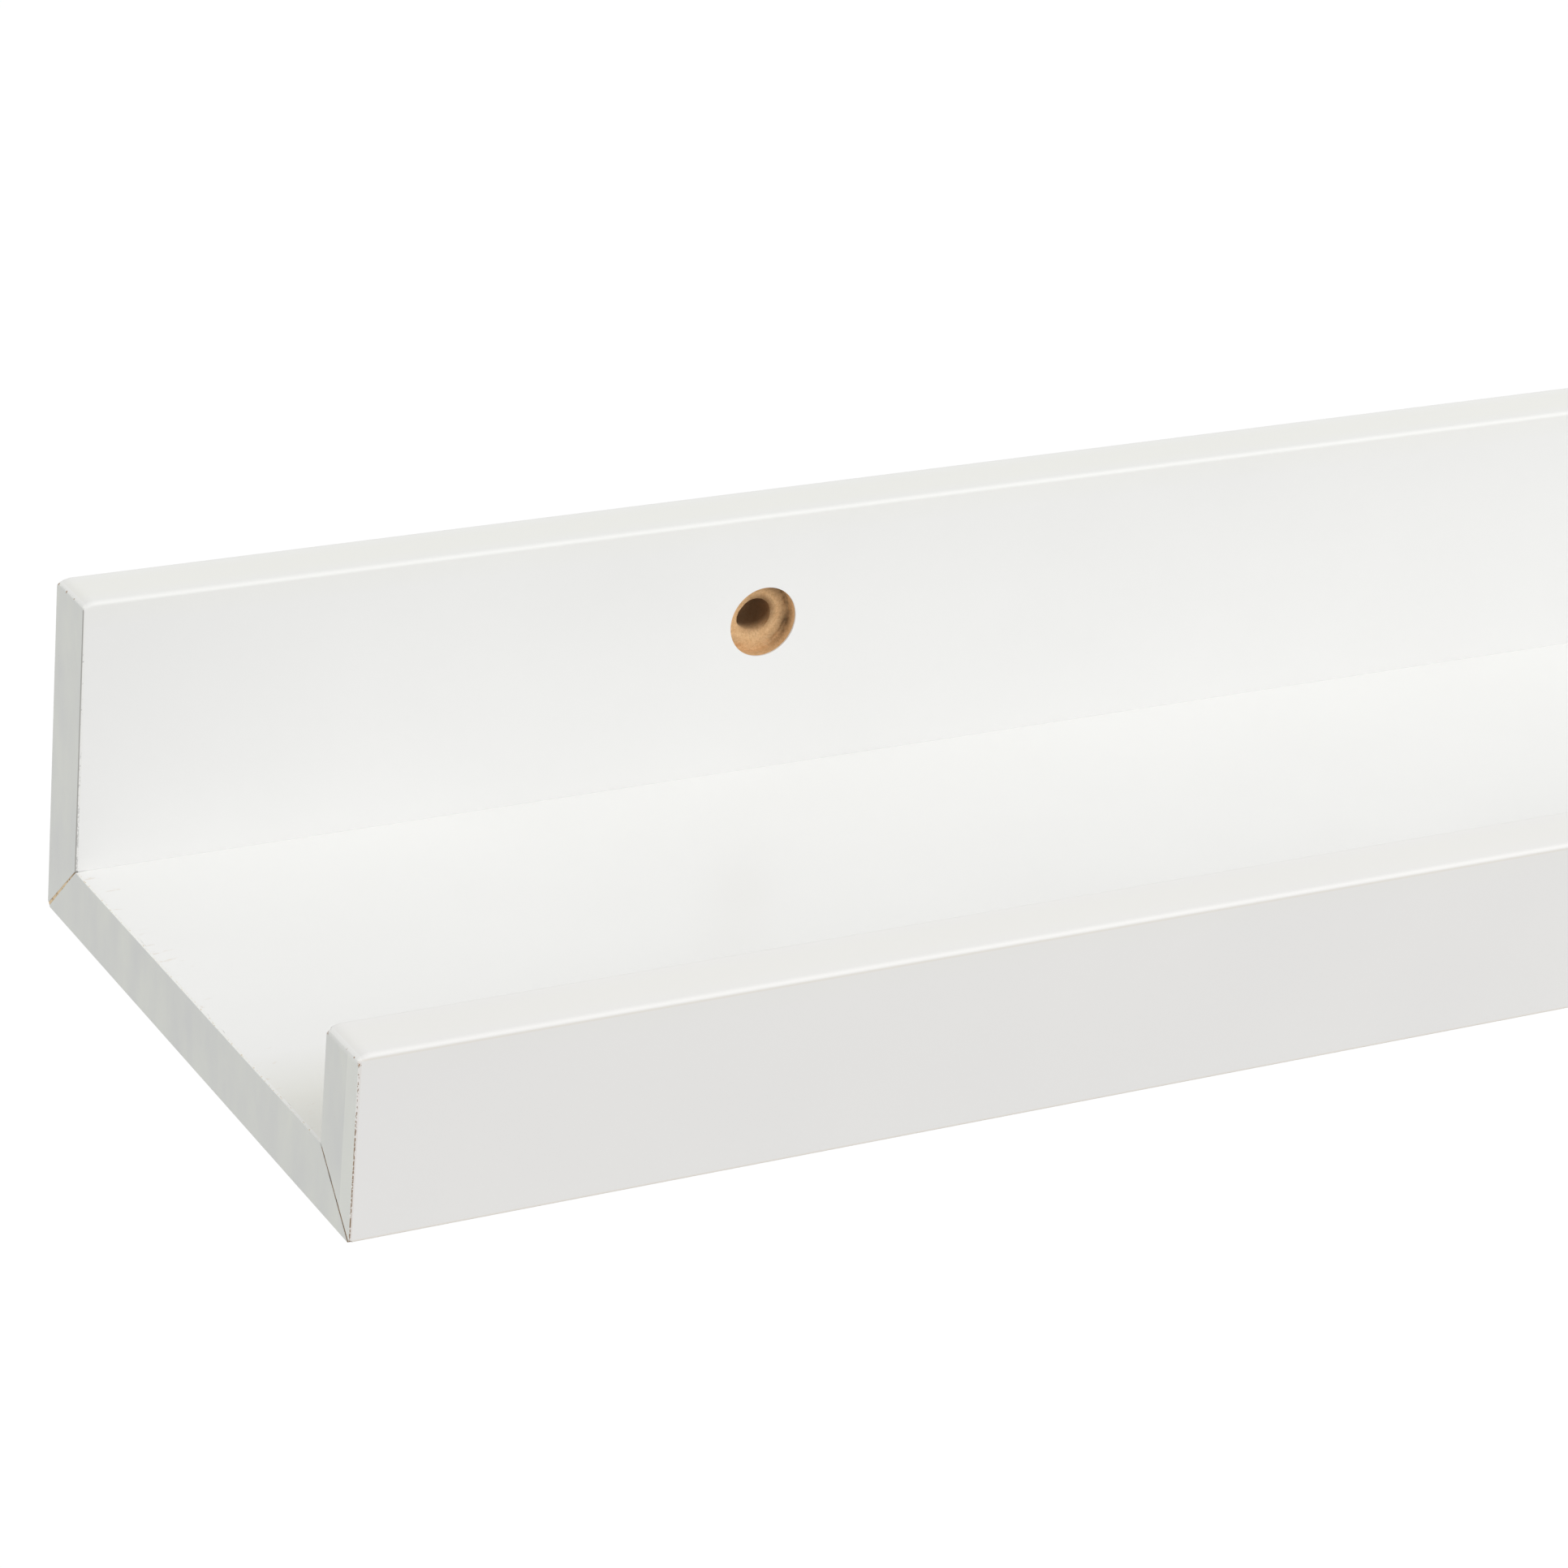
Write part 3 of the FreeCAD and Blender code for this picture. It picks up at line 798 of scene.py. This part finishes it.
def melamine_tape(
    name, edge_axis, edge_place, edge_white, fleck, bars, heights,
    board_top=None, worn_depth=0.1 * MM, fleck_reach=0.3 * MM, line=0, pale_to=None, scars=(),
):
    """White edge tape, a satin melamine paper strip with a flecked cut edge.

    The eye sees a cooler, flatter white than the foil, with soft smudges, and a clean worn white on
    the eased top, which comes lower with a greater worn_depth. In front of pale_to the strip is a
    little paler. The narrow cut edge beside the foil shows flecks as deep as fleck_reach, fewer
    where the bar for them is higher, and a painted shadow: a grey line, as strong as line, along the
    arris between the end face and the cut edge. The two bars belong to the two heights. Each scar,
    given as X, Y, Z and radius, shows specks of brown backing.
    """
    material, tree = empty_material(name)
    place = add_node(tree, "TexCoord").outputs["Object"]
    axes = add_node(tree, "SeparateXYZ", {"Vector": place})
    streaked = add_node(tree, "Mapping", {"Vector": place, "Scale": (1, 1, SMUDGE_DRAG)}).outputs["Vector"]
    smudge = add_node(tree, "TexNoise", {
        "Vector": streaked, "Scale": per_size(SMUDGE_SIZE), "Detail": 3,
    }).outputs["Fac"]
    colour = add_node(tree, "Mix", {
        0: smudge, 6: linear("#DADBDC"), 7: linear("#EEF0E7"),
    }, data_type="RGBA").outputs[2]
    if pale_to:
        pale = add_node(tree, "MapRange", {
            "Value": axes.outputs["Y"], "From Min": pale_to, "From Max": pale_to - PALE_FADE,
            "To Min": 0, "To Max": 0.4,
        }).outputs["Result"]
        colour = add_node(tree, "Mix", {
            0: pale, 6: colour, 7: linear("#F8FAF2"),
        }, data_type="RGBA").outputs[2]
    crumbs = add_node(tree, "TexNoise", {
        "Vector": place, "Scale": per_size(CRUMB_SIZE), "Detail": 2, "Roughness": 0.6,
    }).outputs["Fac"]
    if board_top:
        ragged_height = add_node(tree, "Math", {
            0: crumbs, 1: WORN_RAGGEDNESS, 2: axes.outputs["Z"],
        }, operation="MULTIPLY_ADD").outputs[0]
        worn_height = board_top - EASE_DROP + WORN_RAGGEDNESS / 2
        worn = add_node(tree, "MapRange", {
            "Value": ragged_height,
            "From Min": worn_height - worn_depth, "From Max": worn_height + WORN_OVER,
        }).outputs["Result"]
        colour = add_node(tree, "Mix", {
            0: worn, 6: colour, 7: linear("#F5F5F2"),
        }, data_type="RGBA").outputs[2]
    bar = add_node(tree, "MapRange", {
        "Value": axes.outputs["Z"], "From Min": heights[0], "From Max": heights[1],
        "To Min": bars[0], "To Max": bars[1],
    }).outputs["Result"]
    drawn_out = add_node(tree, "Mapping", {
        "Vector": place, "Scale": (1, 1, FLECK_DRAG) if edge_axis == "Y" else (1, FLECK_DRAG, 1),
    }).outputs["Vector"]
    flecks = add_node(tree, "TexNoise", {
        "Vector": drawn_out, "Scale": per_size(CRUMB_SIZE), "Detail": 2, "Roughness": 0.6,
    }).outputs["Fac"]
    over = add_node(tree, "Math", {0: flecks, 1: bar}, operation="SUBTRACT").outputs[0]
    flecked = add_node(tree, "MapRange", {
        "Value": over, "From Min": -0.04, "From Max": 0.04,
    }).outputs["Result"]
    from_middle = add_node(tree, "Math", {0: axes.outputs["X"]}, operation="ABSOLUTE").outputs[0]
    depth = add_node(tree, "Math", {0: shelf_end, 1: from_middle}, operation="SUBTRACT").outputs[0]
    off_foil = add_node(tree, "MapRange", {
        "Value": depth, "From Min": fleck_reach, "From Max": fleck_reach + FLECK_FADE,
        "To Min": 1, "To Max": 0,
    }).outputs["Result"]
    flecked = add_node(tree, "Math", {0: flecked, 1: off_foil}, operation="MULTIPLY").outputs[0]
    edge = add_node(tree, "Mix", {
        0: flecked, 6: linear(edge_white), 7: linear(fleck),
    }, data_type="RGBA").outputs[2]
    off_edge = add_node(tree, "Math", {
        0: axes.outputs[edge_axis], 1: edge_place,
    }, operation="SUBTRACT").outputs[0]
    off_edge = add_node(tree, "Math", {0: off_edge}, operation="ABSOLUTE").outputs[0]
    at_edge = add_node(tree, "MapRange", {
        "Value": off_edge, "From Min": EDGE_FADE[0], "From Max": EDGE_FADE[1], "To Min": 1, "To Max": 0,
    }).outputs["Result"]
    cut_edge = add_node(tree, "MapRange", {
        "Value": depth, "From Min": ARRIS_FADE[0], "From Max": ARRIS_FADE[1],
    }).outputs["Result"]
    cut_edge = add_node(tree, "Math", {0: cut_edge, 1: at_edge}, operation="MULTIPLY").outputs[0]
    colour = add_node(tree, "Mix", {0: cut_edge, 6: colour, 7: edge}, data_type="RGBA").outputs[2]
    # painted shadow: a grey line along the arris between the end face and the cut edge, as strong as line
    arris_shadow = add_node(tree, "MapRange", {
        "Value": depth, "From Min": LINE_FADE[0], "From Max": LINE_FADE[1], "To Min": line, "To Max": 0,
    }).outputs["Result"]
    arris_shadow = add_node(tree, "Math", {0: arris_shadow, 1: at_edge}, operation="MULTIPLY").outputs[0]
    colour = add_node(tree, "Mix", {0: arris_shadow, 6: colour, 7: linear("#9A9894")}, data_type="RGBA").outputs[2]
    for x, y, z, radius in scars:
        spot = add_node(tree, "CombineXYZ", {"X": x, "Y": y, "Z": z}).outputs[0]
        distance = add_node(tree, "VectorMath", {0: place, 1: spot}, operation="DISTANCE").outputs["Value"]
        near = add_node(tree, "MapRange", {
            "Value": distance, "From Min": 0, "From Max": radius,
            "To Min": SCAR_STRENGTH, "To Max": -SCAR_STRENGTH,
        }).outputs["Result"]
        broken = add_node(tree, "Math", {0: crumbs, 1: near}, operation="ADD").outputs[0]
        broken = add_node(tree, "MapRange", {
            "Value": broken, "From Min": 0.54, "From Max": 0.62,
        }).outputs["Result"]
        colour = add_node(tree, "Mix", {
            0: broken, 6: colour, 7: linear("#A58467"),
        }, data_type="RGBA").outputs[2]
    bump = add_node(tree, "Bump", {
        "Strength": 0.2, "Distance": 0.02 * MM, "Height": smudge,
    }).outputs["Normal"]
    shader = add_node(tree, "BsdfPrincipled", {
        "Base Color": colour, "Roughness": 0.45, "IOR": 1.5, "Normal": bump,
    }).outputs["BSDF"]
    add_node(tree, "OutputMaterial", {"Surface": shader})
    return material


knocked_tip = Vector((-shelf_end, lip_high.y - KNOCK_INSET, lip_high.z - EASE_DROP - KNOCK_INSET))
knock = Vector(KNOCK_FACING).normalized()
# only the back board's tape has the painted grey shadow line along its arris
back_tape = melamine_tape(
    "back_board_melamine_tape", "Y", back_low.y, "#EDEDEB", "#C6C6C5",
    (0.47, 0.68), (-20 * MM, 0), board_top=back_high.z, line=0.85, scars=[
        (-shelf_end, -0.5 * MM, back_high.z - EASE_DROP, 0.5 * MM),
        (-shelf_end, -3.2 * MM, back_high.z - EASE_DROP, 0.4 * MM),
        (-shelf_end, -5.8 * MM, back_high.z - EASE_DROP, 0.3 * MM),
    ],
)
# painted light: the cut edge takes the lighter white given to the bottom board's foil
board_tape = melamine_tape(
    "bottom_board_melamine_tape", "Z", underside + board_thick, "#F4F4F1", "#DCCBB2",
    (0.62, 0.62), (-20 * MM, 0),
)
lip_tape = melamine_tape(
    "front_lip_melamine_tape", "Y", lip_low.y, "#EAE7E4", "#8E755D",
    (0.42, 0.58), (-26 * MM, -9 * MM), board_top=lip_high.z, worn_depth=0.7 * MM,
    fleck_reach=0.2 * MM, pale_to=lip_low.y + 3 * MM, scars=[
        (*knocked_tip, 0.9 * MM),
        (-shelf_end + 0.2 * MM, lip_low.y, lip_high.z - EASE_DROP - 0.4 * MM, 0.6 * MM),
        (-shelf_end, lip_low.y + 1.2 * MM, lip_high.z - EASE_DROP, 0.4 * MM),
        (-shelf_end, lip_low.y + 3.4 * MM, lip_high.z - EASE_DROP, 0.3 * MM),
    ],
)


def end_strip(side, section, board_top, frayings):
    """One strip of tape on one end of a board; each fraying is a test, a reach and a direction."""
    bm = board_prism(section, *sorted((side * shelf_end, side * foil_end)))
    if board_top:
        round_top(bm, section, TOP_ROUND)
        ease_ends(bm, board_top)
        frayings = [*frayings, (
            lambda co: abs(co.x) > shelf_end - TINY and co.z > board_top - EASE_DROP - TINY,
            TOP_CHIPPING, (0, 0, -1),
        )]
    for chosen, reach, direction in frayings:
        fray(bm, chosen, TAPE_STEP, TAPE_GRAIN, reach, lambda co: Vector(direction))
    sand_back_corner(bm)
    close_openings(bm)
    return bm


def tape_piece(bm, board, hand, material):
    """Finishes a strip of tape, with the sharpness taken off round its outer face."""
    outline = [edge for edge in bm.edges if all(abs(vert.co.x) > shelf_end - TINY for vert in edge.verts)]
    round_edges(bm, outline, TAPE_EDGE, TAPE_EDGE_STEPS, clamp=True)
    keep_flat(make_piece(
        bm, f"{board}_end_strip_{hand}", material, f"{board}_tape_{hand}",
    ))


def on_mitre(section, first, last):
    """A test for whether a point lies on the line between two corners of a tape's section."""
    start = Vector(section[first])
    along = (Vector(section[last]) - start).normalized()
    return lambda co: abs(along.cross(Vector((co.y, co.z)) - start)) < TINY


back_tape_section = upright_section(back_low, back_high, back_high.y, *BACK_GAPS)
lip_tape_section = upright_section(lip_low, lip_high, lip_low.y, *FRONT_GAPS)
bottom_tape_section = [
    (back_high.y - BACK_GAPS[0], underside),
    (back_high.y - board_thick - BACK_GAPS[1], underside + board_thick),
    (lip_low.y + board_thick + FRONT_GAPS[1], underside + board_thick),
    (lip_low.y + FRONT_GAPS[0], underside),
]
for side, hand in ((-1, "left"), (1, "right")):
    strip = end_strip(side, back_tape_section, back_high.z, [
        (on_mitre(back_tape_section, 0, 3), BACK_CHIPPING, (0, 0, 1)),
    ])
    tape_piece(strip, "back_board", hand, back_tape)
    strip = end_strip(side, bottom_tape_section, None, [
        (on_mitre(bottom_tape_section, 0, 1), BACK_CHIPPING, (0, -1, 0)),
        (on_mitre(bottom_tape_section, 2, 3), FRONT_CHIPPING, (0, 1, 0)),
    ])
    tape_piece(strip, "bottom_board", hand, board_tape)
    strip = end_strip(side, lip_tape_section, lip_high.z, [
        (on_mitre(lip_tape_section, 0, 3), FRONT_CHIPPING, (0, 0, 1)),
    ])
    if hand == "left":
        cut_plane(strip, knocked_tip - knock * KNOCK_DEPTH, knock, clear=True)
        close_openings(strip)
    tape_piece(strip, "front_lip", hand, lip_tape)


# Studio: a pale floor well below the shelf, which hangs at picture height, a white surround, a
# soft box high to the front right, a weaker one to the left, and a camera high to the front left.

FLOOR_DROP = 1.2
FLOOR_SIZE = 40
CAMERA_PLACE = Vector((-554.976, -605.622, 294.416)) * MM
VIEW_RIGHT = Vector((0.87375, -0.47933, 0.08246)).normalized()
VIEW_FORWARD = Vector((0.46691, 0.77919, -0.41815)).normalized()
LENS = 124.33  # millimetres, and so is the sensor
SENSOR = 36
NEAREST, FURTHEST = 0.01, 100  # what the camera can see
AMBIENT = 0.7
FLOOR_GLOW = 0.82
LIT_PLACE = Vector((-0.15, -0.05, 0))  # the left half of the shelf, which the soft boxes face

studio = bpy.context.scene
floor_mesh = bmesh.new()
bmesh.ops.create_grid(
    floor_mesh, x_segments=1, y_segments=1, size=FLOOR_SIZE / 2,
    matrix=Matrix.Translation((0, 0, underside - FLOOR_DROP)),
)
floor_data = bpy.data.meshes.new("floor")
floor_mesh.to_mesh(floor_data)
floor_mesh.free()
floor = bpy.data.objects.new("floor", floor_data)
studio.collection.objects.link(floor)


def seen_directly(tree):
    """1 where the camera sees a thing itself, mirrored or through glass, and 0 for its light."""
    rays = add_node(tree, "LightPath")
    seen = add_node(tree, "Math", {
        0: rays.outputs["Is Camera Ray"], 1: rays.outputs["Is Glossy Ray"],
    }, operation="MAXIMUM").outputs[0]
    return add_node(tree, "Math", {
        0: seen, 1: rays.outputs["Is Transmission Ray"],
    }, operation="MAXIMUM").outputs[0]


floor_paint, tree = empty_material("matte_floor_paint")
painted = add_node(tree, "BsdfDiffuse", {"Color": linear("#CFCFCD")}).outputs["BSDF"]
shadowed = add_node(tree, "BsdfDiffuse", {"Color": linear("#8C8C8C")}).outputs["BSDF"]
white_glow = add_node(tree, "Emission", {"Color": (1, 1, 1, 1), "Strength": FLOOR_GLOW}).outputs["Emission"]
pale = add_node(tree, "AddShader", {0: shadowed, 1: white_glow}).outputs["Shader"]
surface = add_node(tree, "MixShader", {0: seen_directly(tree), 1: painted, 2: pale}).outputs["Shader"]
add_node(tree, "OutputMaterial", {"Surface": surface})
floor_data.materials.append(floor_paint)

world = bpy.data.worlds.new("white_surround")
studio.world = world
world.use_nodes = True
tree = world.node_tree
tree.nodes.clear()
strength = add_node(tree, "MapRange", {
    "Value": seen_directly(tree), "To Min": AMBIENT, "To Max": 1,
}).outputs["Result"]
surround = add_node(tree, "Background", {"Color": (1, 1, 1, 1), "Strength": strength}).outputs["Background"]
add_node(tree, "OutputWorld", {"Surface": surround})


def soft_box(name, direction, distance, width, height, power):
    """A rectangular soft box that faces the lit place from a direction."""
    light = bpy.data.lights.new(name, "AREA")
    light.shape = "RECTANGLE"
    light.size = width
    light.size_y = height
    light.energy = power
    lamp = bpy.data.objects.new(name, light)
    studio.collection.objects.link(lamp)
    away = Vector(direction).normalized()
    lamp.location = LIT_PLACE + away * distance
    lamp.rotation_mode = "QUATERNION"
    lamp.rotation_quaternion = away.to_track_quat("Z", "Y")


soft_box("front_right_box", (0.45, -0.66, 0.6), distance=2.2, width=2.2, height=2.2, power=23.5)
soft_box("left_box", (-1, -0.3, 0.3), distance=2.2, width=1.4, height=1.4, power=4.7)

camera_data = bpy.data.cameras.new("camera")
camera_data.lens = LENS
camera_data.sensor_width = SENSOR
camera_data.clip_start = NEAREST
camera_data.clip_end = FURTHEST
camera = bpy.data.objects.new("camera", camera_data)
studio.collection.objects.link(camera)
view_up = VIEW_RIGHT.cross(VIEW_FORWARD).normalized()
view_turn = Matrix((VIEW_RIGHT, view_up, -VIEW_FORWARD)).transposed()
camera.matrix_world = Matrix.Translation(CAMERA_PLACE) @ view_turn.to_4x4()
studio.camera = camera

studio.view_settings.view_transform = "Standard"
